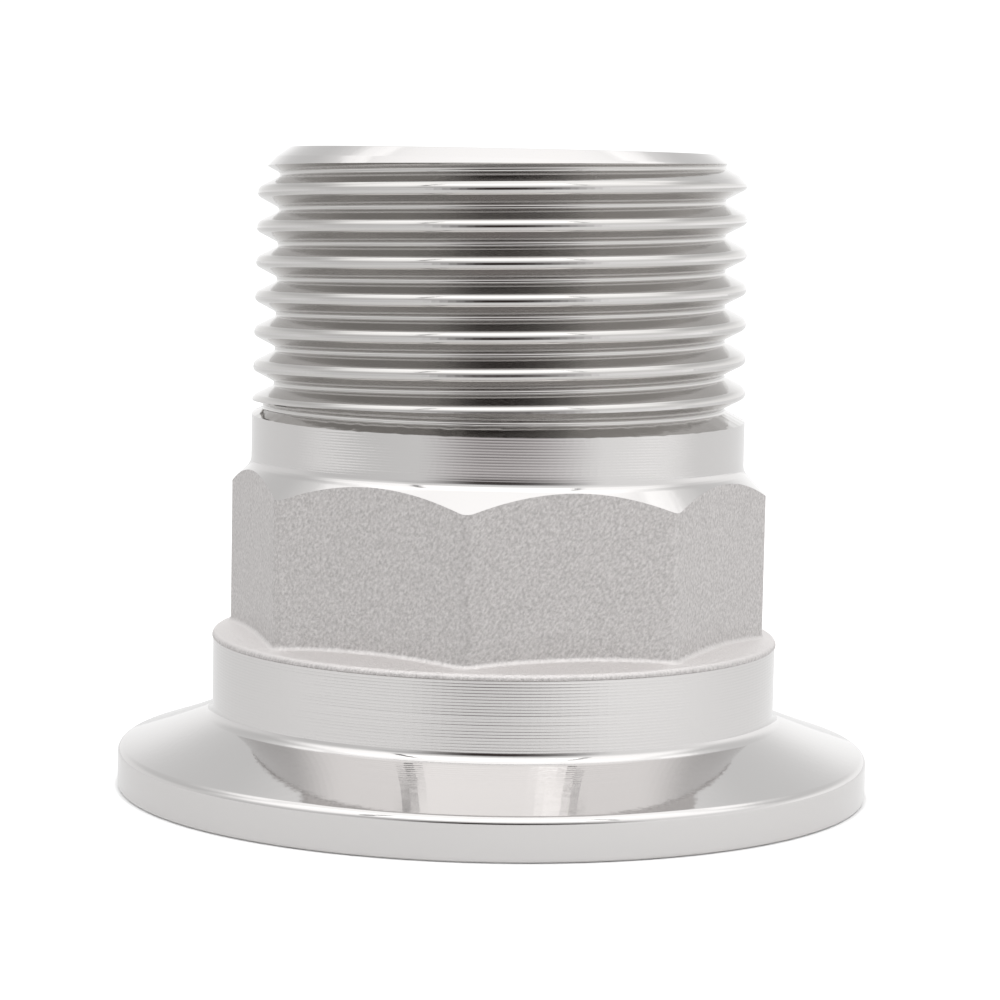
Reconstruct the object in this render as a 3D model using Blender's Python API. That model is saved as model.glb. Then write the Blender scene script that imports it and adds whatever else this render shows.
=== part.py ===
"""Sanitary clamp adapter with an octagonal body and a male pipe thread, in one piece of stainless steel.

The casting carries a clamp flange with a gasket groove in its face, a turned collar, eight wrench
flats, a turned neck and a right-hand pipe thread of 11 threads per inch, with one bore through it all.
The origin is the centre of the flange face, and +Z runs up the bore to the threaded end.
"""

from math import asin, ceil, cos, floor, pi, radians, sin, tan

import bmesh
import bpy
from mathutils import Matrix, Vector

# Clamp flange, in metres
FLANGE_DIAMETER = 0.0505
RIM_HEIGHT = 0.00273
RIM_ROUND = 0.0004
FLANGE_BACK_ANGLE = radians(20)
FLANGE_BACK_FILLET = 0.0008
GASKET_GROOVE_INSET = 0.0035
GASKET_GROOVE_WIDTH = 0.0028
GASKET_GROOVE_DEPTH = 0.0015
GASKET_GROOVE_ROUND = 0.0007
GASKET_GROOVE_DRAFT = radians(15)

# Collar and its cast shoulder
COLLAR_DIAMETER = 0.0379
SHOULDER_HEIGHT = 0.0106
SHOULDER_ROUND = 0.0005
SHOULDER_SLOPE = radians(15)

# Octagonal body, from the top of the shoulder to the neck
OCTAGON_ACROSS_FLATS = 0.0336
OCTAGON_LENGTH = 0.0112
OCTAGON_CORNER_ROUND = 0.0012
OCTAGON_CHAMFER_ANGLE = radians(45)

# Neck and the blank that the thread is cut into
NECK_DIAMETER = 0.0330
NECK_LENGTH = 0.0032
THREAD_LENGTH = 0.0178
THREAD_TAPER = 1 / 32
LEAD_CHAMFER_DEPTH = 0.0019
LEAD_CHAMFER_ANGLE = radians(45)

# Thread groove: rounded 55 degree form with its standard depth and round, 11 threads per inch, right-hand
THREAD_PITCH = 0.0254 / 11
THREAD_FLANK_ANGLE = radians(27.5)
THREAD_FULL_DEPTH = 0.640327 * THREAD_PITCH
THREAD_ROUND = 0.137329 * THREAD_PITCH
THREAD_CREST_FLAT = 0.0002
THREAD_END_ANGLE = radians(-17)
RUNOUT_GAP = 0.0002
RUNOUT_FEED_FADE = radians(189)
RUNOUT_LIFT_START = radians(60)
RUNOUT_LIFT_LENGTH = radians(170)

# Wall between the bore and the root of the thread at its end, and broken sharp edges
STEM_WALL = 0.0033
EDGE_BREAK = 0.0002

# Facets: a multiple of eight, so that the round parts line up with the octagon's corners
SEGMENTS = 56
ARC_STEP = radians(30)
CUT_MARGIN = 0.0003
WELD = 1e-7

# Heights that follow from the lengths above
NECK_HEIGHT = SHOULDER_HEIGHT + OCTAGON_LENGTH
THREAD_FOOT_HEIGHT = NECK_HEIGHT + NECK_LENGTH
TOTAL_HEIGHT = THREAD_FOOT_HEIGHT + THREAD_LENGTH


def rounded(corners):
    """Turn (radius, height, round) corners into an outline whose corners are arcs of that round."""
    outline = []
    for index, (x, z, radius) in enumerate(corners):
        corner = Vector((x, z))
        if radius == 0:
            outline.append(corner)
            continue
        before = (Vector(corners[index - 1][:2]) - corner).normalized()
        after = (Vector(corners[(index + 1) % len(corners)][:2]) - corner).normalized()
        half_angle = before.angle(after) / 2
        centre = corner + (before + after).normalized() * radius / sin(half_angle)
        start = corner + before * radius / tan(half_angle) - centre
        sweep = start.angle_signed(corner + after * radius / tan(half_angle) - centre)
        steps = max(1, ceil(abs(sweep) / ARC_STEP))
        for step in range(steps + 1):
            outline.append(centre + Matrix.Rotation(-sweep * step / steps, 2) @ start)
    return outline


def object_from(name, mesh_builder):
    """Weld the builder's mesh, face it outwards and link it to the scene as an object."""
    bmesh.ops.remove_doubles(mesh_builder, verts=mesh_builder.verts, dist=WELD)
    bmesh.ops.recalc_face_normals(mesh_builder, faces=mesh_builder.faces)
    mesh = bpy.data.meshes.new(name)
    mesh_builder.to_mesh(mesh)
    mesh_builder.free()
    shape = bpy.data.objects.new(name, mesh)
    bpy.context.scene.collection.objects.link(shape)
    return shape


def turned(name, corners):
    """Revolve an outline of (radius, height, round) corners about the Z axis."""
    lathe = bmesh.new()
    points = [lathe.verts.new((point.x, 0, point.y)) for point in rounded(corners)]
    edges = []
    for index, point in enumerate(points):
        following = points[(index + 1) % len(points)]
        if point.co.x > WELD or following.co.x > WELD:
            edges.append(lathe.edges.new((point, following)))
    bmesh.ops.spin(lathe, geom=points + edges, cent=(0, 0, 0), axis=(0, 0, 1), angle=2 * pi, steps=SEGMENTS)
    return object_from(name, lathe)


def combine(body, tool, operation):
    """Add, cut or intersect a tool into the body, and remove the tool."""
    modifier = body.modifiers.new(tool.name, "BOOLEAN")
    modifier.solver = "EXACT"
    modifier.operation = operation
    modifier.object = tool
    depsgraph = bpy.context.evaluated_depsgraph_get()
    result = bpy.data.meshes.new_from_object(body.evaluated_get(depsgraph))
    body.modifiers.clear()
    body.data = result
    bpy.data.objects.remove(tool, do_unlink=True)


def gasket_groove_corners():
    """Corners of the groove in the flange face, from its inner edge to its outer edge."""
    centre = FLANGE_DIAMETER / 2 - GASKET_GROOVE_INSET
    inset = GASKET_GROOVE_DEPTH * tan(GASKET_GROOVE_DRAFT)
    half_mouth = GASKET_GROOVE_WIDTH / 2
    half_floor = half_mouth - inset
    return [
        (centre - half_mouth, 0, 0),
        (centre - half_floor, GASKET_GROOVE_DEPTH, GASKET_GROOVE_ROUND),
        (centre + half_floor, GASKET_GROOVE_DEPTH, GASKET_GROOVE_ROUND),
        (centre + half_mouth, 0, 0),
    ]


def flange_and_collar():
    """Clamp flange with its conical back, and the collar with its sloping cast shoulder."""
    rim = FLANGE_DIAMETER / 2
    collar = COLLAR_DIAMETER / 2
    inner = bore_radius()
    foot_height = RIM_HEIGHT + (rim - collar) * tan(FLANGE_BACK_ANGLE)
    top_height = SHOULDER_HEIGHT + (collar - inner) * tan(SHOULDER_SLOPE)
    corners = [(0, 0, 0)]
    corners += gasket_groove_corners()
    corners += [
        (rim, 0, EDGE_BREAK),
        (rim, RIM_HEIGHT, RIM_ROUND),
        (collar, foot_height, FLANGE_BACK_FILLET),
        (collar, SHOULDER_HEIGHT, SHOULDER_ROUND),
        (inner, top_height, 0),
        (0, top_height, 0),
    ]
    return turned("flange_and_collar", corners)


def octagon():
    """Eight wrench flats square to the X and Y axes, with rounded corners."""
    corner_radius = OCTAGON_ACROSS_FLATS / 2 / cos(pi / 8)
    base = SHOULDER_HEIGHT - SHOULDER_ROUND
    prism = bmesh.new()
    bmesh.ops.create_circle(prism, cap_ends=True, segments=8, radius=corner_radius)
    bmesh.ops.rotate(prism, verts=prism.verts, matrix=Matrix.Rotation(pi / 8, 3, "Z"))
    bmesh.ops.translate(prism, verts=prism.verts, vec=(0, 0, base))
    sides = bmesh.ops.extrude_face_region(prism, geom=prism.faces[:])["geom"]
    raised = [item for item in sides if isinstance(item, bmesh.types.BMVert)]
    bmesh.ops.translate(prism, verts=raised, vec=(0, 0, NECK_HEIGHT + NECK_LENGTH / 2 - base))
    upright = [edge for edge in prism.edges if abs(edge.verts[0].co.z - edge.verts[1].co.z) > WELD]
    bmesh.ops.bevel(
        prism,
        geom=upright,
        affect="EDGES",
        offset=OCTAGON_CORNER_ROUND * tan(pi / 8),
        segments=2,
        profile=0.5,
    )
    return object_from("adapter_body", prism)


def octagon_chamfer():
    """Envelope whose cone turns the tops of the flats into arcs below the neck."""
    neck = NECK_DIAMETER / 2
    outer = max(NECK_DIAMETER, OCTAGON_ACROSS_FLATS)
    slope = tan(OCTAGON_CHAMFER_ANGLE)
    inside_neck = NECK_LENGTH / 4
    corners = [
        (0, -TOTAL_HEIGHT, 0),
        (outer, -TOTAL_HEIGHT, 0),
        (outer, NECK_HEIGHT - (outer - neck) * slope, 0),
        (neck - inside_neck / slope, NECK_HEIGHT + inside_neck, 0),
        (0, NECK_HEIGHT + inside_neck, 0),
    ]
    return turned("octagon_chamfer", corners)


def crest_radius(height):
    """Radius of the tapered thread blank at a height."""
    return NECK_DIAMETER / 2 - max(0, height - THREAD_FOOT_HEIGHT) * THREAD_TAPER / 2


def neck_and_thread_blank():
    """Straight neck, tapered thread blank and lead chamfer at the end face."""
    face = crest_radius(TOTAL_HEIGHT) - LEAD_CHAMFER_DEPTH
    slope = tan(LEAD_CHAMFER_ANGLE)
    chamfer_foot = TOTAL_HEIGHT - LEAD_CHAMFER_DEPTH * slope / (1 - slope * THREAD_TAPER / 2)
    corners = [
        (0, SHOULDER_HEIGHT, 0),
        (NECK_DIAMETER / 2, SHOULDER_HEIGHT, 0),
        (NECK_DIAMETER / 2, THREAD_FOOT_HEIGHT, 0),
        (crest_radius(chamfer_foot), chamfer_foot, 0),
        (face, TOTAL_HEIGHT, 0),
        (0, TOTAL_HEIGHT, 0),
    ]
    return turned("neck_and_thread_blank", corners)


def bore_radius():
    """Radius of the bore, which leaves the wall inside the thread's root at the end face."""
    depth = tool_section()[1]
    return crest_radius(TOTAL_HEIGHT) - depth - STEM_WALL


def bore():
    """Cutter for the bore, flared at both ends to break its edges."""
    radius = bore_radius()
    flare = EDGE_BREAK + CUT_MARGIN
    corners = [
        (0, -CUT_MARGIN, 0),
        (radius + flare, -CUT_MARGIN, 0),
        (radius, EDGE_BREAK, 0),
        (radius, TOTAL_HEIGHT - EDGE_BREAK, 0),
        (radius + flare, TOTAL_HEIGHT + CUT_MARGIN, 0),
        (0, TOTAL_HEIGHT + CUT_MARGIN, 0),
    ]
    return turned("bore", corners)


def tool_section():
    """Section of the full-form thread tool as (height above its nose, half width), and its cut depth.

    Nose and crest are arcs of one radius, joined by the flanks. The crest arc stops at the crest flat,
    so that neighbouring turns of the cutter stay apart.
    """
    nose_angle = pi / 2 - THREAD_FLANK_ANGLE
    flat_angle = asin(THREAD_CREST_FLAT / 2 / THREAD_ROUND)
    section = []
    for angle in (nose_angle / 3, nose_angle):
        section.append((THREAD_ROUND * (1 - cos(angle)), THREAD_ROUND * sin(angle)))
    for angle in (nose_angle, flat_angle):
        rise = THREAD_FULL_DEPTH - THREAD_ROUND * (1 - cos(angle))
        section.append((rise, THREAD_PITCH / 2 - THREAD_ROUND * sin(angle)))
    depth, half_width = section[-1]
    section.append((depth + CUT_MARGIN / 2, half_width))
    return section, depth


def groove_path(turned_angle, depth):
    """Height and nose radius of the groove, at an angle turned since its feed began to fade.

    Before that the groove follows the pitch. After it the feed fades out, and then the tool lifts out.
    """
    fade_left = max(0, RUNOUT_FEED_FADE - max(0, turned_angle))
    turn_left = fade_left * fade_left / (2 * RUNOUT_FEED_FADE) - min(0, turned_angle)
    height = THREAD_FOOT_HEIGHT + RUNOUT_GAP + THREAD_PITCH * turn_left / (2 * pi)
    lift = max(0, turned_angle - RUNOUT_LIFT_START) / RUNOUT_LIFT_LENGTH
    return height, crest_radius(height) - depth * (1 - lift * lift)


def thread_groove():
    """Helical cutter for the thread, from above the end face down to its run-out."""
    section, depth = tool_section()
    step = 2 * pi / SEGMENTS
    reach = TOTAL_HEIGHT + THREAD_PITCH / 2 - groove_path(0, depth)[0]
    first = floor((THREAD_END_ANGLE - RUNOUT_LIFT_START - RUNOUT_LIFT_LENGTH) / step) - 1
    last = ceil((THREAD_END_ANGLE + 2 * pi * reach / THREAD_PITCH) / step)
    outline = [(rise, -width) for rise, width in reversed(section)] + section
    cutter = bmesh.new()
    rings = []
    for index in range(first, last + 1):
        angle = index * step
        height, nose = groove_path(THREAD_END_ANGLE - angle, depth)
        ring = []
        for rise, offset in outline:
            radius = nose + rise
            ring.append(cutter.verts.new((radius * cos(angle), radius * sin(angle), height + offset)))
        rings.append(ring)
    for ring, following in zip(rings, rings[1:]):
        for index in range(len(ring)):
            near = index - 1
            cutter.faces.new((ring[near], ring[index], following[index], following[near]))
    cutter.faces.new(rings[0])
    cutter.faces.new(rings[-1])
    return object_from("thread_groove", cutter)


def stainless_steel():
    """Bright stainless steel."""
    material = bpy.data.materials.new("stainless_steel")
    material.use_nodes = True
    shader = material.node_tree.nodes["Principled BSDF"]
    shader.inputs["Base Color"].default_value = (0.60, 0.59, 0.57, 1)
    shader.inputs["Metallic"].default_value = 1
    shader.inputs["Roughness"].default_value = 0.3
    return material


def main():
    for item in list(bpy.data.objects):
        bpy.data.objects.remove(item, do_unlink=True)
    body = octagon()
    combine(body, octagon_chamfer(), "INTERSECT")
    combine(body, flange_and_collar(), "UNION")
    combine(body, neck_and_thread_blank(), "UNION")
    combine(body, thread_groove(), "DIFFERENCE")
    combine(body, bore(), "DIFFERENCE")
    body.data.name = body.name
    body.data.shade_smooth()
    body.data.set_sharp_from_angle(angle=radians(30))
    body.data.materials.clear()
    body.data.materials.append(stainless_steel())


main()
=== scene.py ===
"""Sanitary clamp adapter in stainless steel, with an octagonal body and a male pipe thread.

One finished piece stands for the CAD node: a turned flange, collar and neck, a blasted cast octagon and a
thread cut with a full-form tool. It stands on a white floor in plain, soft studio light.
"""

from math import asin, atan2, ceil, cos, floor, pi, radians, sin, tan

import bpy
from mathutils import Matrix, Vector, noise


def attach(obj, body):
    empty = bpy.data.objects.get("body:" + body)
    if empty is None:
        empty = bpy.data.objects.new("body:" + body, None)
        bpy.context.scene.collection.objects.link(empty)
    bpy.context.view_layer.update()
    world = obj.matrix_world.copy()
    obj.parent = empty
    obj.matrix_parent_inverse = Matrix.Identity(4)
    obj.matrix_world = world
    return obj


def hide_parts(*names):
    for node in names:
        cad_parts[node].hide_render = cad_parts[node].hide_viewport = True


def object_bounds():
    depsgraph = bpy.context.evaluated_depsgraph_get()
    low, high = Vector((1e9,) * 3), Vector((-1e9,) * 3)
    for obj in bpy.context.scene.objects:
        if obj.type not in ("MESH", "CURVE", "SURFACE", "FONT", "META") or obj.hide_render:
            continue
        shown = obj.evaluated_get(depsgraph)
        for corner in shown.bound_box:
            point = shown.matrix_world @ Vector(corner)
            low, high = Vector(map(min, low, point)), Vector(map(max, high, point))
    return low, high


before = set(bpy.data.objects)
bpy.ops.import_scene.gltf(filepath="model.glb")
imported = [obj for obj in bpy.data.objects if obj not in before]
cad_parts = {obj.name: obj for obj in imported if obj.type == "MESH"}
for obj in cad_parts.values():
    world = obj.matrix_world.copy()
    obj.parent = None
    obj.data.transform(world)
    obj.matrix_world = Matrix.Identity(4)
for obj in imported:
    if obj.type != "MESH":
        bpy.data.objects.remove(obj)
CAD_LOW, CAD_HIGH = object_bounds()

MM = 0.001

# Clamp flange. Its back is turned very slightly hollow, steeper by the collar than at the edge.
RIM_RADIUS = CAD_HIGH.x
RIM_HEIGHT = 2.73 * MM
RIM_FOOT_ROUND = 0.26 * MM
RIM_TOP_ROUND = 0.55 * MM
FLANGE_BACK_ANGLE = radians(20)
FLANGE_EDGE_ANGLE = radians(18.2)
FLANGE_BACK_MIDDLE = 22.3 * MM
FLANGE_BACK_HOLLOW = 60 * MM

# Gasket groove in the flange's face
GASKET_GROOVE_CENTRE = RIM_RADIUS - 3.5 * MM
GASKET_GROOVE_MOUTH = 1.4 * MM
GASKET_GROOVE_FLOOR = 1.0 * MM
GASKET_GROOVE_DEPTH = 1.5 * MM
GASKET_GROOVE_ROUND = 0.7 * MM

# Collar, turned up to where the casting's skin begins, and the sloping cast shoulder
COLLAR_RADIUS = 18.95 * MM
COLLAR_FOOT_FILLET = 0.8 * MM
TURNED_COLLAR_TOP = 10.05 * MM
CASTING_SKIN = 0.06 * MM
SHOULDER_HEIGHT = 10.42 * MM
SHOULDER_ROUND = 0.36 * MM
SHOULDER_SLOPE = radians(14)

# Octagon, its fillet on the shoulder, and the 45 degree cone and fillet that lead to the neck
OCTAGON_APOTHEM = 16.8 * MM
OCTAGON_CORNER_ROUND = 1.2 * MM
OCTAGON_FOOT_FILLET = 0.3 * MM
NECK_RADIUS = 16.54 * MM
NECK_HEIGHT = 21.76 * MM
NECK_FILLET = 1.0 * MM
THREAD_FOOT_HEIGHT = 25.0 * MM

# End face and lead chamfer
TOTAL_HEIGHT = CAD_HIGH.z
END_FACE_RADIUS = 14.2 * MM
CHAMFER_BEND = (15.1 * MM, 42.15 * MM)
CHAMFER_FOOT_HEIGHT = 40.85 * MM
CHAMFER_ROUND = 0.6 * MM
BORE_RADIUS = 11.46 * MM
EDGE_BREAK = 0.25 * MM
EDGE_ROUND = 0.1 * MM

# Thread: right-hand, 11 per inch. Its feed fades at the neck, and then its tool lifts out.
THREAD_PITCH = 25.4 * MM / 11
THREAD_TAPER = 1 / 32
THREAD_FLANK_ANGLE = radians(27.5)
THREAD_ROOT_ROUND = 0.18 * MM
THREAD_ROOT_FLAT = 0.06 * MM
THREAD_CREST_ROUND = 0.47 * MM
THREAD_CREST_FLAT = 0.02 * MM
THREAD_END_ANGLE = radians(56)
RUNOUT_GAP = 0.58 * MM
RUNOUT_FEED_FADE = radians(246)
RUNOUT_LIFT_START = radians(20)
RUNOUT_LIFT_LENGTH = radians(330)
RUNOUT_SHARPENING = radians(60)
EDGE_BURR = 0.05 * MM
BURRS_PER_RADIAN = 25

# Where one finish gives way to the next. The octagon's cone stays above CONE_LIMIT, and from there up its
# flats are the faces whose normals rise less than FLAT_LEAN.
FLANGE_TOP = 5.7 * MM
CONE_LIMIT = NECK_HEIGHT - 3 * MM
FLAT_LEAN = 0.3

# Fineness of the piece
SEGMENTS = 192
ARC_STEP = radians(9)
NOSE_STEPS = 4
CREST_STEPS = 5
SMOOTH_ANGLE = radians(30)
CLEARANCE = 0.15 * MM
WELD = 1e-7

# Photograph's camera: metres, radians, and a focal length and centre in pixels of its 1000 pixel frame
CAMERA_PLACE = Vector((-59.42, -198.58, 40.23)) * MM
CAMERA_TURN = radians(16.66)
CAMERA_PITCH = 0.1002
CAMERA_ROLL = 0.0199
CAMERA_RIGHT = Vector((cos(CAMERA_TURN), -sin(CAMERA_TURN), 0))
CAMERA_SIDE = Vector((-sin(CAMERA_TURN), -cos(CAMERA_TURN), 0))
FRAME_PIXELS = 1000
FOCAL_PIXELS = 3088.4
CENTRE_PIXEL = 496.77
SENSOR_WIDTH = 36

# Studio, in metres
FLOOR_RADIUS = 1.2
FLOOR_REACH = 0.12
CARD_DISTANCE = 0.45
CARD_LEFT, CARD_RIGHT = -0.36, 0.6
CARD_FOOT, CARD_HEAD = -0.12, 0.19


def linear(hex_colour):
    """Turn an sRGB hex colour to a linear RGBA one."""
    channels = [int(hex_colour[place : place + 2], 16) / 255 for place in (1, 3, 5)]
    return [c / 12.92 if c <= 0.04045 else ((c + 0.055) / 1.055) ** 2.4 for c in channels] + [1]


def add_node(tree, kind, inputs=None, **settings):
    """Add a node with its settings, and set or link its inputs by name or place."""
    node = tree.nodes.new(kind)
    for name, value in settings.items():
        setattr(node, name, value)
    for name, value in (inputs or {}).items():
        if isinstance(value, bpy.types.NodeSocket):
            tree.links.new(value, node.inputs[name])
        else:
            node.inputs[name].default_value = value
    return node


# Shapes


def select_only(piece):
    bpy.ops.object.select_all(action="DESELECT")
    piece.select_set(True)
    bpy.context.view_layer.objects.active = piece


def select_edges(piece, wanted):
    """Select, in edit mode, the edges whose two ends and two faces pass the test."""
    bpy.ops.object.mode_set(mode="OBJECT")
    mesh = piece.data
    faces_of = {edge.key: [] for edge in mesh.edges}
    for face in mesh.polygons:
        face.select = False
        for key in face.edge_keys:
            faces_of[key].append(face)
    for vertex in mesh.vertices:
        vertex.select = False
    for edge in mesh.edges:
        ends = [mesh.vertices[index].co for index in edge.vertices]
        edge.select = bool(wanted(ends, faces_of[edge.key]))
    bpy.ops.object.mode_set(mode="EDIT")
    bpy.ops.mesh.select_mode(type="EDGE")


def draw_outline(name, points):
    """Draw a closed outline of (radius, height) points in the XZ plane by extruding one vertex along it."""
    bpy.ops.object.select_all(action="DESELECT")
    bpy.ops.mesh.primitive_plane_add(size=MM)
    outline = bpy.context.object
    outline.name = name
    bpy.ops.object.mode_set(mode="EDIT")
    bpy.ops.mesh.select_mode(type="VERT")
    bpy.ops.mesh.merge(type="CENTER")
    x, z = points[0]
    bpy.ops.transform.translate(value=(x, 0, z))
    for (x, z), (next_x, next_z) in zip(points, points[1:]):
        move = {"value": (next_x - x, 0, next_z - z)}
        bpy.ops.mesh.extrude_region_move(TRANSFORM_OT_translate=move)
    bpy.ops.object.mode_set(mode="OBJECT")
    ends = [Vector((x, 0, z)) for x, z in (points[0], points[-1])]
    for vertex in outline.data.vertices:
        vertex.select = min((vertex.co - end).length for end in ends) < WELD
    bpy.ops.object.mode_set(mode="EDIT")
    bpy.ops.mesh.edge_face_add()
    return outline


def rounded(corners):
    """Turn (radius, height, round) corners of a closed outline into points whose corners are arcs."""
    points = []
    for index, (x, z, radius) in enumerate(corners):
        corner = Vector((x, z))
        if radius == 0:
            points.append(corner)
            continue
        before = (Vector(corners[index - 1][:2]) - corner).normalized()
        after = (Vector(corners[(index + 1) % len(corners)][:2]) - corner).normalized()
        half_angle = before.angle(after) / 2
        centre = corner + (before + after).normalized() * radius / sin(half_angle)
        start = corner + before * radius / tan(half_angle) - centre
        sweep = start.angle_signed(corner + after * radius / tan(half_angle) - centre)
        steps = max(2, ceil(abs(sweep) / ARC_STEP))
        points += [centre + Matrix.Rotation(-sweep * turn / steps, 2) @ start for turn in range(steps + 1)]
    return points


def turned(name, corners):
    """Spin a closed outline of (radius, height, round) corners about the Z axis."""
    shape = draw_outline(name, rounded(corners))
    bpy.ops.mesh.select_all(action="SELECT")
    bpy.ops.mesh.spin(steps=SEGMENTS, angle=2 * pi, center=(0, 0, 0), axis=(0, 0, 1))
    bpy.ops.mesh.select_all(action="SELECT")
    bpy.ops.mesh.remove_doubles(threshold=WELD)
    bpy.ops.mesh.normals_make_consistent(inside=False)
    bpy.ops.object.mode_set(mode="OBJECT")
    return shape


def combine(piece, tool, operation):
    """Join, cut or intersect the piece with a tool that gives its own finish, and remove the tool."""
    select_only(piece)
    modifier = piece.modifiers.new(tool.name, "BOOLEAN")
    modifier.solver = "MANIFOLD"
    modifier.operation = operation
    modifier.material_mode = "TRANSFER"
    modifier.object = tool
    bpy.ops.object.modifier_apply(modifier=modifier.name)
    bpy.data.objects.remove(tool, do_unlink=True)


def turned_blank():
    """Flange, collar, shoulder, neck and thread blank round the bore, in one outline.

    Its neck is a hair slimmer than the octagon's, so that the two walls don't coincide in the union.
    """
    collar_foot = RIM_HEIGHT + (RIM_RADIUS - COLLAR_RADIUS) * tan(FLANGE_BACK_ANGLE)
    middle_height = RIM_HEIGHT + (RIM_RADIUS - FLANGE_BACK_MIDDLE) * tan(FLANGE_EDGE_ANGLE)
    skin = COLLAR_RADIUS + CASTING_SKIN
    inner = 15.6 * MM
    neck = NECK_RADIUS - 0.005 * MM
    groove = GASKET_GROOVE_CENTRE
    corners = [
        (BORE_RADIUS, EDGE_BREAK, 0),
        (BORE_RADIUS + EDGE_BREAK, 0, 0),
        (groove - GASKET_GROOVE_MOUTH, 0, EDGE_ROUND),
        (groove - GASKET_GROOVE_FLOOR, GASKET_GROOVE_DEPTH, GASKET_GROOVE_ROUND),
        (groove + GASKET_GROOVE_FLOOR, GASKET_GROOVE_DEPTH, GASKET_GROOVE_ROUND),
        (groove + GASKET_GROOVE_MOUTH, 0, EDGE_ROUND),
        (RIM_RADIUS, 0, RIM_FOOT_ROUND),
        (RIM_RADIUS, RIM_HEIGHT, RIM_TOP_ROUND),
        (FLANGE_BACK_MIDDLE, middle_height, FLANGE_BACK_HOLLOW),
        (COLLAR_RADIUS, collar_foot, COLLAR_FOOT_FILLET),
        (COLLAR_RADIUS, TURNED_COLLAR_TOP, 0),
        (skin, TURNED_COLLAR_TOP + CASTING_SKIN, 0),
        (skin, SHOULDER_HEIGHT, SHOULDER_ROUND),
        (inner, SHOULDER_HEIGHT + (skin - inner) * tan(SHOULDER_SLOPE), 0),
        (inner, NECK_HEIGHT, 0),
        (neck, NECK_HEIGHT + 0.2 * MM, 0),
        (neck, THREAD_FOOT_HEIGHT - 1.0 * MM, 0),
        (neck, THREAD_FOOT_HEIGHT, 0),
        (crest_radius(CHAMFER_FOOT_HEIGHT), CHAMFER_FOOT_HEIGHT, 0),
        (*CHAMFER_BEND, CHAMFER_ROUND),
        (END_FACE_RADIUS, TOTAL_HEIGHT, EDGE_ROUND),
        (BORE_RADIUS + EDGE_BREAK, TOTAL_HEIGHT, 0),
        (BORE_RADIUS, TOTAL_HEIGHT - EDGE_BREAK, 0),
    ]
    return turned("turned_blank", corners)


def cast_octagon():
    """Prism of eight flats square to the axes, with rounded corners, taller than the real one."""
    base = SHOULDER_HEIGHT - 0.3 * MM
    top = NECK_HEIGHT + 3 * MM
    bpy.ops.object.select_all(action="DESELECT")
    bpy.ops.mesh.primitive_cylinder_add(
        vertices=8,
        radius=OCTAGON_APOTHEM / cos(pi / 8),
        depth=top - base,
        location=(0, 0, (base + top) / 2),
        rotation=(0, 0, pi / 8),
    )
    octagon = bpy.context.object
    octagon.name = "cast_octagon"
    bpy.ops.object.transform_apply()
    select_edges(octagon, lambda ends, faces: abs(ends[0].z - ends[1].z) > MM)
    bpy.ops.mesh.bevel(offset=OCTAGON_CORNER_ROUND * tan(pi / 8), segments=5, profile=0.5)
    bpy.ops.object.mode_set(mode="OBJECT")
    return octagon


def octagon_envelope():
    """Ring whose outside is the 45 degree cone and the fillet that rises into the neck."""
    inner, outer = 14 * MM, 20 * MM
    foot, head = 5 * MM, NECK_HEIGHT + 0.8 * MM
    corners = [
        (inner, foot, 0),
        (outer, foot, 0),
        (outer, NECK_HEIGHT - (outer - NECK_RADIUS), 0),
        (NECK_RADIUS, NECK_HEIGHT, NECK_FILLET),
        (NECK_RADIUS, head, 0),
        (inner, head, 0),
    ]
    return turned("octagon_envelope", corners)


def fillet_octagon_foot(body):
    """Fillet between the octagon's flats and the cast shoulder."""
    select_edges(
        body,
        lambda ends, faces: len(faces) == 2
        and min(end.z for end in ends) > SHOULDER_HEIGHT
        and max(end.z for end in ends) < SHOULDER_HEIGHT + 0.9 * MM
        and min(abs(face.normal.z) for face in faces) < 0.1
        and max(face.normal.z for face in faces) > 0.9,
    )
    bpy.ops.mesh.bevel(offset=OCTAGON_FOOT_FILLET, segments=3, profile=0.5)
    bpy.ops.object.mode_set(mode="OBJECT")


def crest_radius(height):
    """Radius of the tapered thread blank at a height."""
    return NECK_RADIUS - max(0, height - THREAD_FOOT_HEIGHT) * THREAD_TAPER / 2


def tool_section():
    """Outline of the full-form thread tool as (height above its nose, offset along the axis)."""
    nose_angle = pi / 2 - THREAD_FLANK_ANGLE
    flat_angle = asin(THREAD_CREST_FLAT / 2 / THREAD_CREST_ROUND)
    half = []
    for step in range(NOSE_STEPS + 1):
        angle = nose_angle * step / NOSE_STEPS
        rise = THREAD_ROOT_ROUND * (1 - cos(angle))
        half.append((rise, THREAD_ROOT_FLAT / 2 + THREAD_ROOT_ROUND * sin(angle)))
    rise, half_width = half[-1]
    crest_width = THREAD_PITCH / 2 - THREAD_CREST_ROUND * sin(nose_angle)
    shoulder = rise + (crest_width - half_width) / tan(THREAD_FLANK_ANGLE)
    crest = shoulder + THREAD_CREST_ROUND * (1 - cos(nose_angle))
    for step in range(CREST_STEPS + 1):
        angle = nose_angle + (flat_angle - nose_angle) * step / CREST_STEPS
        rise = crest - THREAD_CREST_ROUND * (1 - cos(angle))
        half.append((rise, THREAD_PITCH / 2 - THREAD_CREST_ROUND * sin(angle)))
    depth, half_width = half[-1]
    half.append((depth + CLEARANCE, half_width))
    return [(rise, -width) for rise, width in reversed(half)] + half, depth


def groove_path(turned_angle, depth):
    """Height and nose radius of the groove at an angle turned since its feed began to fade."""
    fade_left = max(0, RUNOUT_FEED_FADE - max(0, turned_angle))
    turn_left = fade_left * fade_left / (2 * RUNOUT_FEED_FADE) - min(0, turned_angle)
    height = THREAD_FOOT_HEIGHT + RUNOUT_GAP + THREAD_PITCH * turn_left / (2 * pi)
    lift = max(0, turned_angle - RUNOUT_LIFT_START) / RUNOUT_LIFT_LENGTH
    return height, crest_radius(height) - depth * (1 - lift * lift)


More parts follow.
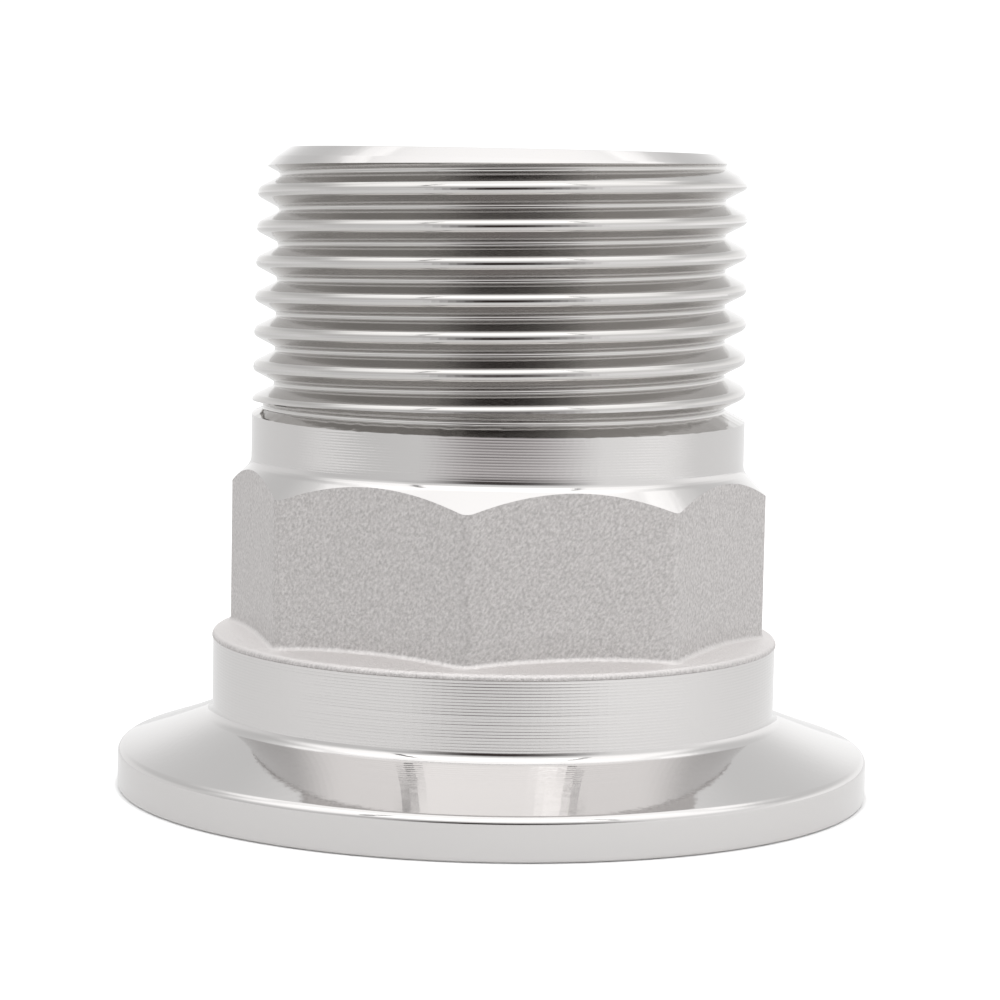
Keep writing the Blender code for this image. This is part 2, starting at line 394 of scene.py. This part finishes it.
def thread_cutter():
    """Screw the tool's outline round the blank, then bend the coil to its taper, fade and lift-out.

    At the run-out the lower flank runs on past the crest's round, because the tool leaves a sharp, burred
    edge there.
    """
    section, depth = tool_section()
    step = 2 * pi / SEGMENTS
    reach = TOTAL_HEIGHT + THREAD_PITCH / 2 - groove_path(0, depth)[0]
    first = floor((THREAD_END_ANGLE - RUNOUT_LIFT_START - RUNOUT_LIFT_LENGTH) / step) - 1
    last = ceil((THREAD_END_ANGLE + 2 * pi * reach / THREAD_PITCH) / step)
    nose = NECK_RADIUS - depth
    start = first * step
    cutter = draw_outline("thread_cutter", [(nose + rise, offset) for rise, offset in section])
    bpy.ops.mesh.select_all(action="SELECT")
    bpy.ops.object.mode_set(mode="OBJECT")
    screw = cutter.modifiers.new("coil", "SCREW")
    screw.axis = "Z"
    screw.angle = (last - first) * step
    screw.screw_offset = (last - first) * step / (2 * pi) * THREAD_PITCH
    screw.steps = last - first
    screw.render_steps = last - first
    screw.use_smooth_shade = False
    select_only(cutter)
    bpy.ops.object.modifier_apply(modifier=screw.name)
    mesh = cutter.data
    flank_rise = THREAD_ROOT_ROUND * (1 - sin(THREAD_FLANK_ANGLE))
    flank_width = THREAD_ROOT_FLAT / 2 + THREAD_ROOT_ROUND * cos(THREAD_FLANK_ANGLE)
    turned_by = []
    for vertex in mesh.vertices:
        x, y, z = vertex.co
        angle = atan2(y, x)
        angle += 2 * pi * round(z / THREAD_PITCH - angle / (2 * pi))
        offset = z - angle / (2 * pi) * THREAD_PITCH
        angle += start
        turned_by.append(angle)
        height, root = groove_path(THREAD_END_ANGLE - angle, depth)
        rise = Vector((x, y)).length - nose
        if offset < 0 and rise > flank_rise:
            sharpness = min(1, max(0, (THREAD_END_ANGLE - angle) / RUNOUT_SHARPENING + 1))
            flank = flank_width + (rise - flank_rise) * tan(THREAD_FLANK_ANGLE)
            burr = EDGE_BURR * noise.noise(Vector((angle * BURRS_PER_RADIAN, 0, 0)))
            offset = offset * (1 - sharpness) - (flank + burr) * sharpness
        radius = root + rise
        vertex.co = (radius * cos(angle), radius * sin(angle), height + offset)
    for end in (first * step, last * step):
        bpy.ops.object.mode_set(mode="OBJECT")
        for vertex, angle in zip(mesh.vertices, turned_by):
            vertex.select = abs(angle - end) < step / 2
        bpy.ops.object.mode_set(mode="EDIT")
        bpy.ops.mesh.select_mode(type="VERT")
        bpy.ops.mesh.edge_face_add()
    bpy.ops.mesh.select_all(action="SELECT")
    bpy.ops.mesh.normals_make_consistent(inside=False)
    bpy.ops.object.mode_set(mode="OBJECT")
    return cutter


# Finishes


def start_steel(name, roughness, colour=None):
    """Bare stainless steel at a roughness and, where it has one all over, a colour."""
    material = bpy.data.materials.new(name)
    material.use_nodes = True
    tree = material.node_tree
    steel = tree.nodes["Principled BSDF"]
    steel.inputs["Metallic"].default_value = 1
    steel.inputs["Roughness"].default_value = roughness
    if colour:
        steel.inputs["Base Color"].default_value = linear(colour)
    return material, tree, steel


def turned_stainless(name, feed, depth, chatter, roughness):
    """Stainless steel from the lathe, with marks that all run round the axis.

    The tool leaves shallow scallops one feed apart with sharp ridges between them, uneven from turn to turn,
    so the eye sees fine lines where something dark is reflected, and almost a mirror elsewhere. Chatter
    ripples the reflections a little. Feed, depth and chatter are in metres.
    """
    material, tree, steel = start_steel(name, roughness, "#cecccb")
    place = add_node(tree, "ShaderNodeTexCoord").outputs["Object"]
    level = add_node(tree, "ShaderNodeVectorMath", {0: place, 1: (1, 1, 0)}, operation="MULTIPLY")
    radius = add_node(tree, "ShaderNodeVectorMath", {0: level.outputs[0]}, operation="LENGTH")
    split = add_node(tree, "ShaderNodeSeparateXYZ", {0: place})
    across = add_node(
        tree, "ShaderNodeMath", {0: radius.outputs["Value"], 1: split.outputs["Z"]}, operation="SUBTRACT"
    ).outputs[0]
    count = add_node(tree, "ShaderNodeMath", {0: across, 1: 1 / feed}, operation="MULTIPLY")
    part = add_node(tree, "ShaderNodeMath", {0: count.outputs[0]}, operation="FRACT")
    centred = add_node(tree, "ShaderNodeMath", {0: part.outputs[0], 1: 0.5}, operation="SUBTRACT").outputs[0]
    scallop = add_node(tree, "ShaderNodeMath", {0: centred, 1: centred}, operation="MULTIPLY")
    uneven = add_node(
        tree,
        "ShaderNodeTexNoise",
        {"W": across, "Scale": 1 / (2.3 * feed), "Detail": 3, "Roughness": 0.6},
        noise_dimensions="1D",
    )
    marks = add_node(
        tree,
        "ShaderNodeMath",
        {0: scallop.outputs[0], 1: 4.0, 2: uneven.outputs["Fac"]},
        operation="MULTIPLY_ADD",
    )
    marks = add_node(tree, "ShaderNodeMath", {0: marks.outputs[0], 1: depth}, operation="MULTIPLY")
    ripple = add_node(tree, "ShaderNodeTexNoise", {"Vector": place, "Scale": 1 / (0.5 * MM), "Detail": 1})
    height = add_node(
        tree,
        "ShaderNodeMath",
        {0: ripple.outputs["Fac"], 1: chatter, 2: marks.outputs[0]},
        operation="MULTIPLY_ADD",
    )
    bump = add_node(tree, "ShaderNodeBump", {"Height": height.outputs[0], "Distance": 1.0, "Strength": 1.0})
    tree.links.new(bump.outputs[0], steel.inputs["Normal"])
    return material


def blasted_cast_stainless():
    """Investment cast stainless steel, blasted with fine grit.

    It shows no reflections, only a matt grey with a sandy grain of light and dark specks. The grain is about
    0.17 mm, drawn out a little along one slant, over dents of about 0.56 mm. It is coarser than the grit's
    own, so that it shows. Faces that look up get a paler colour, painted light from above.
    """
    material, tree, steel = start_steel("blasted_cast_stainless", 0.58)
    coordinates = add_node(tree, "ShaderNodeTexCoord")
    place = coordinates.outputs["Object"]
    slant = add_node(
        tree,
        "ShaderNodeMapping",
        {"Vector": place, "Rotation": (0, radians(40), 0), "Scale": (1, 1, 1.5)},
        vector_type="TEXTURE",
    ).outputs[0]
    grain = add_node(
        tree, "ShaderNodeTexNoise", {"Vector": slant, "Scale": 6 / MM, "Detail": 2, "Roughness": 0.6}
    ).outputs["Fac"]
    dents = add_node(tree, "ShaderNodeTexNoise", {"Vector": place, "Scale": 1.8 / MM, "Detail": 2})
    height = add_node(
        tree, "ShaderNodeMath", {0: dents.outputs["Fac"], 1: 0.4, 2: grain}, operation="MULTIPLY_ADD"
    )
    bump = add_node(
        tree, "ShaderNodeBump", {"Height": height.outputs[0], "Distance": 0.055 * MM, "Strength": 1.0}
    )
    tree.links.new(bump.outputs[0], steel.inputs["Normal"])
    specks = add_node(tree, "ShaderNodeMapRange", {"Value": grain, "From Min": 0.3, "From Max": 0.7})
    shade = add_node(
        tree,
        "ShaderNodeMix",
        {0: specks.outputs[0], 6: linear("#b3b0af"), 7: linear("#d3d0cf")},
        data_type="RGBA",
    )
    # Painted light: faces that look up are painted paler, as if lit from above.
    facing = add_node(tree, "ShaderNodeSeparateXYZ", {0: coordinates.outputs["Normal"]})
    top_light_mask = add_node(
        tree, "ShaderNodeMapRange", {"Value": facing.outputs["Z"], "From Min": 0.2, "From Max": 0.9}
    )
    painted_top_light = add_node(
        tree,
        "ShaderNodeMix",
        {0: top_light_mask.outputs[0], 6: shade.outputs[2], 7: linear("#dfdcdb")},
        data_type="RGBA",
    )
    tree.links.new(painted_top_light.outputs[2], steel.inputs["Base Color"])
    return material


def thread_cut_stainless():
    """Stainless steel cut by the thread tool.

    Nicks in the tool's edge draw fine lines, about 0.16 mm apart, that follow the groove round, so its bands
    of light and dark are finely streaked. Its colour is a little darker than the turned faces': painted
    shade that dims the thread's highlights and flanks.
    """
    # The darker base colour is painted shade on the thread.
    material, tree, steel = start_steel("thread_cut_stainless", 0.1, "#c4c2c0")
    place = add_node(tree, "ShaderNodeTexCoord").outputs["Object"]
    split = add_node(tree, "ShaderNodeSeparateXYZ", {0: place})
    angle = add_node(
        tree, "ShaderNodeMath", {0: split.outputs["Y"], 1: split.outputs["X"]}, operation="ARCTAN2"
    )
    climb = add_node(
        tree, "ShaderNodeMath", {0: angle.outputs[0], 1: THREAD_PITCH / (2 * pi)}, operation="MULTIPLY"
    )
    across = add_node(
        tree, "ShaderNodeMath", {0: split.outputs["Z"], 1: climb.outputs[0]}, operation="SUBTRACT"
    )
    turn = add_node(
        tree, "ShaderNodeMath", {0: across.outputs[0], 1: 2 * pi / THREAD_PITCH}, operation="MULTIPLY"
    )
    east = add_node(tree, "ShaderNodeMath", {0: turn.outputs[0]}, operation="COSINE")
    north = add_node(tree, "ShaderNodeMath", {0: turn.outputs[0]}, operation="SINE")
    ring = add_node(tree, "ShaderNodeCombineXYZ", {"X": east.outputs[0], "Y": north.outputs[0]})
    lines_per_ring = THREAD_PITCH / (2 * pi) / (0.16 * MM)
    lines = add_node(
        tree,
        "ShaderNodeTexNoise",
        {"Vector": ring.outputs[0], "Scale": lines_per_ring, "Detail": 3, "Roughness": 0.65},
        noise_dimensions="2D",
    )
    bump = add_node(
        tree, "ShaderNodeBump", {"Height": lines.outputs["Fac"], "Distance": 0.005 * MM, "Strength": 1.0}
    )
    tree.links.new(bump.outputs[0], steel.inputs["Normal"])
    return material


def paint(piece, finishes):
    """Give each face but the thread's the first finish whose test its radius, height and normal pass."""
    slots = piece.data.materials
    for face in piece.data.polygons:
        if slots[face.material_index] == THREAD:
            continue
        radius = Vector(face.center[:2]).length
        for material, test in finishes:
            if test(radius, face.center.z, face.normal):
                face.material_index = slots.find(material.name)
                break


# The piece

# The collar's and neck's feeds are the photograph's. The finer ones are drawn coarse enough to show.
THREAD = thread_cut_stainless()
CAST = blasted_cast_stainless()
COLLAR = turned_stainless("coarse_turned_stainless", 0.198 * MM, 0.005 * MM, 0.0003 * MM, 0.07)
NECK = turned_stainless("turned_stainless", 0.178 * MM, 0.0014 * MM, 0.0003 * MM, 0.1)
BORE = turned_stainless("bored_stainless", 0.15 * MM, 0.001 * MM, 0.0003 * MM, 0.35)
FLANGE = turned_stainless("fine_turned_stainless", 0.08 * MM, 0.0001 * MM, 0.003 * MM, 0.05)

body = turned_blank()
body.data.materials.append(FLANGE)
octagon = cast_octagon()
octagon.data.materials.append(CAST)
envelope = octagon_envelope()
envelope.data.materials.append(NECK)
combine(octagon, envelope, "INTERSECT")
combine(body, octagon, "UNION")
fillet_octagon_foot(body)
cutter = thread_cutter()
cutter.data.materials.append(THREAD)
combine(body, cutter, "DIFFERENCE")

for material in (THREAD, CAST, COLLAR, NECK, FLANGE, BORE):
    if material.name not in body.data.materials:
        body.data.materials.append(material)
paint(
    body,
    [
        (BORE, lambda r, z, n: r < BORE_RADIUS + 0.05 * MM),
        (FLANGE, lambda r, z, n: r < END_FACE_RADIUS + EDGE_ROUND or z < FLANGE_TOP),
        (COLLAR, lambda r, z, n: z < TURNED_COLLAR_TOP),
        (CAST, lambda r, z, n: z < CONE_LIMIT or (z < NECK_HEIGHT and abs(n.z) < FLAT_LEAN)),
        (FLANGE, lambda r, z, n: z < NECK_HEIGHT - 0.1 * MM),
        (NECK, lambda r, z, n: z < THREAD_FOOT_HEIGHT + 1 * MM),
        (FLANGE, lambda r, z, n: True),
    ],
)
select_only(body)
bpy.ops.object.shade_smooth_by_angle(angle=SMOOTH_ANGLE)
select_edges(
    body, lambda ends, faces: len(faces) == 2 and faces[0].material_index != faces[1].material_index
)
bpy.ops.mesh.mark_sharp()
bpy.ops.object.mode_set(mode="OBJECT")
weight = body.modifiers.new("weighted", "WEIGHTED_NORMAL")
weight.keep_sharp = True
bpy.ops.object.modifier_apply(modifier=weight.name)
body.name = "adapter_finish"
body.data.name = body.name
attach(body, "root")
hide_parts("adapter_body")


# Studio


def soft_patch(tree, edges):
    """Product of soft edges, each given as (value, start, end, level before, level after)."""
    patch = None
    for value, start, end, before, after in edges:
        edge = add_node(
            tree,
            "ShaderNodeMapRange",
            {"Value": value, "From Min": start, "From Max": end, "To Min": before, "To Max": after},
            interpolation_type="SMOOTHSTEP",
        ).outputs["Result"]
        if patch is not None:
            edge = add_node(tree, "ShaderNodeMath", {0: patch, 1: edge}, operation="MULTIPLY").outputs[0]
        patch = edge
    return patch


def photograph_camera():
    data = bpy.data.cameras.new("camera")
    data.sensor_width = SENSOR_WIDTH
    data.lens = FOCAL_PIXELS / FRAME_PIXELS * SENSOR_WIDTH
    data.shift_x = (FRAME_PIXELS / 2 - CENTRE_PIXEL) / FRAME_PIXELS
    data.clip_start = 0.01
    camera = bpy.data.objects.new("camera", data)
    bpy.context.scene.collection.objects.link(camera)
    ahead = -CAMERA_SIDE * cos(CAMERA_PITCH) - Vector((0, 0, sin(CAMERA_PITCH)))
    up = CAMERA_RIGHT.cross(ahead)
    rolled_right = CAMERA_RIGHT * cos(CAMERA_ROLL) + up * sin(CAMERA_ROLL)
    rolled_up = up * cos(CAMERA_ROLL) - CAMERA_RIGHT * sin(CAMERA_ROLL)
    axes = Matrix((rolled_right, rolled_up, -ahead)).transposed()
    camera.matrix_world = Matrix.Translation(CAMERA_PLACE) @ axes.to_4x4()
    bpy.context.scene.camera = camera


def white_floor():
    """Round white floor that ends a little in front of the object, so that the walls see the room beyond.

    The camera and the reflections see half of it as glowing white, apart from the object's shadow. In the
    reflections it glows more on the right and less behind the object and straight in front of it.
    """
    bpy.ops.object.select_all(action="DESELECT")
    bpy.ops.mesh.primitive_circle_add(
        vertices=128,
        radius=FLOOR_RADIUS,
        fill_type="NGON",
        location=CAMERA_SIDE * (FLOOR_REACH - FLOOR_RADIUS),
    )
    sheet = bpy.context.object
    sheet.name = "floor"
    bpy.ops.object.transform_apply()
    material = bpy.data.materials.new("white_paper")
    material.use_nodes = True
    tree = material.node_tree
    paper = tree.nodes["Principled BSDF"]
    paper.inputs["Base Color"].default_value = linear("#f4f4f4")
    paper.inputs["Roughness"].default_value = 1
    path = add_node(tree, "ShaderNodeLightPath")
    seen = path.outputs["Is Camera Ray"]
    for ray in ("Is Glossy Ray", "Is Transmission Ray"):
        seen = add_node(
            tree, "ShaderNodeMath", {0: seen, 1: path.outputs[ray]}, operation="MAXIMUM"
        ).outputs[0]
    place = add_node(tree, "ShaderNodeTexCoord").outputs["Object"]
    away = add_node(tree, "ShaderNodeVectorMath", {0: place}, operation="LENGTH").outputs["Value"]
    aside = add_node(
        tree, "ShaderNodeVectorMath", {0: place, 1: CAMERA_RIGHT}, operation="DOT_PRODUCT"
    ).outputs["Value"]
    toward = add_node(
        tree, "ShaderNodeVectorMath", {0: place, 1: CAMERA_SIDE}, operation="DOT_PRODUCT"
    ).outputs["Value"]
    ramps = {}
    for name, value, start, end, before, after in (
        ("clear", away, RIM_RADIUS + 0.05 * MM, RIM_RADIUS + 0.35 * MM, 0.0, 0.5),
        ("right", aside, -0.01, 0.035, 1.03, 1.3),
        ("front", toward, -0.06, 0.08, 0.54, 1.0),
        ("ahead", toward, 0.036, 0.056, 0.0, 1.0),
    ):
        ramps[name] = add_node(
            tree,
            "ShaderNodeMapRange",
            {"Value": value, "From Min": start, "From Max": end, "To Min": before, "To Max": after},
        ).outputs["Result"]
    sideways = add_node(tree, "ShaderNodeMath", {0: aside}, operation="ABSOLUTE").outputs[0]
    middle = soft_patch(tree, [(sideways, 0.0, 0.045, 0.3, 0.0)])
    dip = add_node(tree, "ShaderNodeMath", {0: middle, 1: ramps["ahead"]}, operation="MULTIPLY")
    glow = add_node(tree, "ShaderNodeMath", {0: ramps["right"], 1: ramps["front"]}, operation="MULTIPLY")
    glow = add_node(tree, "ShaderNodeMath", {0: glow.outputs[0], 1: dip.outputs[0]}, operation="SUBTRACT")
    white = add_node(
        tree, "ShaderNodeMath", {0: path.outputs["Is Camera Ray"], 1: 1.3}, operation="MULTIPLY"
    )
    glow = add_node(tree, "ShaderNodeMath", {0: glow.outputs[0], 1: white.outputs[0]}, operation="MAXIMUM")
    light = add_node(tree, "ShaderNodeEmission", {"Color": linear("#ffffff"), "Strength": glow.outputs[0]})
    share = add_node(tree, "ShaderNodeMath", {0: seen, 1: ramps["clear"]}, operation="MULTIPLY")
    mixed = add_node(
        tree, "ShaderNodeMixShader", {0: share.outputs[0], 1: paper.outputs[0], 2: light.outputs[0]}
    )
    tree.links.new(mixed.outputs[0], tree.nodes["Material Output"].inputs["Surface"])
    sheet.data.materials.append(material)


def dim_card():
    """Glowing card behind the camera, seen only in reflections: painted shade above, pale painted light
    below, soft edges.
    """
    bpy.ops.object.select_all(action="DESELECT")
    bpy.ops.mesh.primitive_plane_add(size=1)
    card = bpy.context.object
    card.name = "dim_card"
    bpy.ops.object.mode_set(mode="EDIT")
    bpy.ops.transform.resize(value=(CARD_RIGHT - CARD_LEFT, CARD_HEAD - CARD_FOOT, 1))
    bpy.ops.transform.translate(value=((CARD_RIGHT + CARD_LEFT) / 2, (CARD_HEAD + CARD_FOOT) / 2, 0))
    bpy.ops.object.mode_set(mode="OBJECT")
    card.location = CAMERA_SIDE * CARD_DISTANCE
    card.rotation_euler = (pi / 2, 0, -CAMERA_TURN)
    card.visible_camera = False
    material = bpy.data.materials.new("dim_card_glow")
    material.use_nodes = True
    tree = material.node_tree
    tree.nodes.remove(tree.nodes["Principled BSDF"])
    place = add_node(tree, "ShaderNodeTexCoord").outputs["Object"]
    split = add_node(tree, "ShaderNodeSeparateXYZ", {0: place})
    across, up = split.outputs["X"], split.outputs["Y"]
    solid = soft_patch(
        tree,
        [
            (across, CARD_LEFT + 0.02, -0.04, 0.0, 1.0),
            (across, 0.02, CARD_RIGHT - 0.04, 1.0, 0.0),
            (up, CARD_FOOT, CARD_FOOT + 0.03, 0.0, 1.0),
            (up, 0.08, CARD_HEAD, 1.0, 0.0),
        ],
    )
    shade = add_node(
        tree,
        "ShaderNodeMix",
        {0: soft_patch(tree, [(up, -0.036, 0.03, 0.0, 1.0)]), 6: linear("#e7e3e4"), 7: linear("#3f3836")},
        data_type="RGBA",
    )
    clear = add_node(tree, "ShaderNodeBsdfTransparent")
    # The card's emission is painted shade above and painted light below, seen only in reflections.
    card_emission = add_node(tree, "ShaderNodeEmission", {"Color": shade.outputs[2], "Strength": 1})
    mixed = add_node(tree, "ShaderNodeMixShader", {0: solid, 1: clear.outputs[0], 2: card_emission.outputs[0]})
    tree.links.new(mixed.outputs[0], tree.nodes["Material Output"].inputs["Surface"])
    card.data.materials.append(material)


def studio_light():
    """White studio all round, with a ceiling, a soft box over the camera and the dark frame of that box.

    Height is the sine of the elevation. Turn is counted from the camera's side to its right.
    """
    world = bpy.data.worlds.new("studio")
    bpy.context.scene.world = world
    world.use_nodes = True
    tree = world.node_tree
    direction = add_node(tree, "ShaderNodeTexCoord").outputs["Generated"]
    aside = add_node(
        tree, "ShaderNodeVectorMath", {0: direction, 1: CAMERA_RIGHT}, operation="DOT_PRODUCT"
    ).outputs["Value"]
    toward = add_node(
        tree, "ShaderNodeVectorMath", {0: direction, 1: CAMERA_SIDE}, operation="DOT_PRODUCT"
    ).outputs["Value"]
    height = add_node(tree, "ShaderNodeSeparateXYZ", {0: direction}).outputs["Z"]
    turn = add_node(tree, "ShaderNodeMath", {0: aside, 1: toward}, operation="ARCTAN2").outputs[0]
    away = add_node(tree, "ShaderNodeMath", {0: turn}, operation="ABSOLUTE").outputs[0]

    front_half = (away, radians(80), radians(110), 1.0, 0.0)
    back_half = (away, radians(80), radians(110), 0.0, 1.0)
    under_ceiling = (height, 0.82, 0.97, 1.0, 0.0)
    box_rows = [(height, 0.55, 0.68, 0.0, 1.0), (height, 0.84, 0.95, 1.0, 0.0)]
    frame_rows = [(height, 0.5, 0.6, 0.0, 1.0), (height, 0.8, 0.88, 1.0, 0.0)]
    patches = {
        "ceiling": [(height, 0.72, 1.0, 0.0, 0.6)],
        "front_wall": [
            (aside, -0.6, 0.6, 0.7, 0.58),
            (height, 0.25, 0.62, 0.0, 1.0),
            front_half,
            under_ceiling,
        ],
        "front_table": [
            (turn, radians(-55), radians(-35), 0.0, -0.22),
            (turn, radians(30), radians(50), 1.0, 0.0),
            (height, 0.1, 0.2, 0.0, 1.0),
            (height, 0.45, 0.58, 1.0, 0.0),
        ],
        "back_wall_foot": [(height, 0.2, 0.5, 0.16, 0.0), back_half, under_ceiling],
        "back_wall": [(height, 0.12, 0.4, 0.0, -0.18), back_half, under_ceiling],
        "back_wall_head": [(height, 0.55, 0.8, 0.0, 0.4), back_half, under_ceiling],
        "back_side_lights": [
            (away, radians(95), radians(118), 0.0, 0.3),
            (away, radians(150), radians(165), 1.0, 0.0),
            (height, 0.68, 0.74, 0.0, 1.0),
            (height, 0.79, 0.825, 1.0, 0.0),
        ],
        "box": [
            (turn, radians(-41), radians(-39.5), 0.0, 0.3),
            (turn, radians(39.5), radians(41), 1.0, 0.0),
            *box_rows,
        ],
        "box_lamps": [
            (turn, radians(22.5), radians(23.5), 0.0, 0.6),
            (turn, radians(39.5), radians(40.5), 1.0, 0.0),
            *box_rows,
        ],
        "frame_left": [
            (turn, radians(-45), radians(-43), 0.0, -1.6),
            (turn, radians(-41), radians(-39), 1.0, 0.0),
            *frame_rows,
        ],
        "frame_right": [
            (turn, radians(40.5), radians(41.2), 0.0, -1.6),
            (turn, radians(42.8), radians(43.5), 1.0, 0.0),
            *frame_rows,
        ],
    }
    lamp_pitch = radians(4.5)
    wave = add_node(tree, "ShaderNodeMath", {0: turn, 1: 2 * pi / lamp_pitch}, operation="MULTIPLY")
    wave = add_node(tree, "ShaderNodeMath", {0: wave.outputs[0]}, operation="COSINE")
    lamps = add_node(tree, "ShaderNodeMath", {0: wave.outputs[0], 1: 0.5}, operation="ADD")
    bright = 1.0
    for name, edges in patches.items():
        patch = soft_patch(tree, edges)
        if name == "box_lamps":
            patch = add_node(
                tree, "ShaderNodeMath", {0: patch, 1: lamps.outputs[0]}, operation="MULTIPLY"
            ).outputs[0]
        bright = add_node(tree, "ShaderNodeMath", {0: patch, 1: bright}, operation="ADD").outputs[0]
    tilt = add_node(
        tree,
        "ShaderNodeMapRange",
        {"Value": aside, "From Min": -1.0, "From Max": 1.0, "To Min": -0.2, "To Max": 0.12},
    )
    fade = soft_patch(tree, [(height, 0.1, 0.6, 1.0, 0.35)])
    tilt = add_node(tree, "ShaderNodeMath", {0: tilt.outputs[0], 1: fade, 2: 1.0}, operation="MULTIPLY_ADD")
    bright = add_node(tree, "ShaderNodeMath", {0: bright, 1: tilt.outputs[0]}, operation="MULTIPLY")
    seen = add_node(tree, "ShaderNodeLightPath").outputs["Is Camera Ray"]
    white = add_node(tree, "ShaderNodeMath", {0: bright.outputs[0], 1: seen}, operation="MAXIMUM")
    background = tree.nodes["Background"]
    background.inputs["Color"].default_value = linear("#ffffff")
    tree.links.new(white.outputs[0], background.inputs["Strength"])


photograph_camera()
white_floor()
dim_card()
studio_light()
bpy.context.scene.view_settings.view_transform = "Standard"
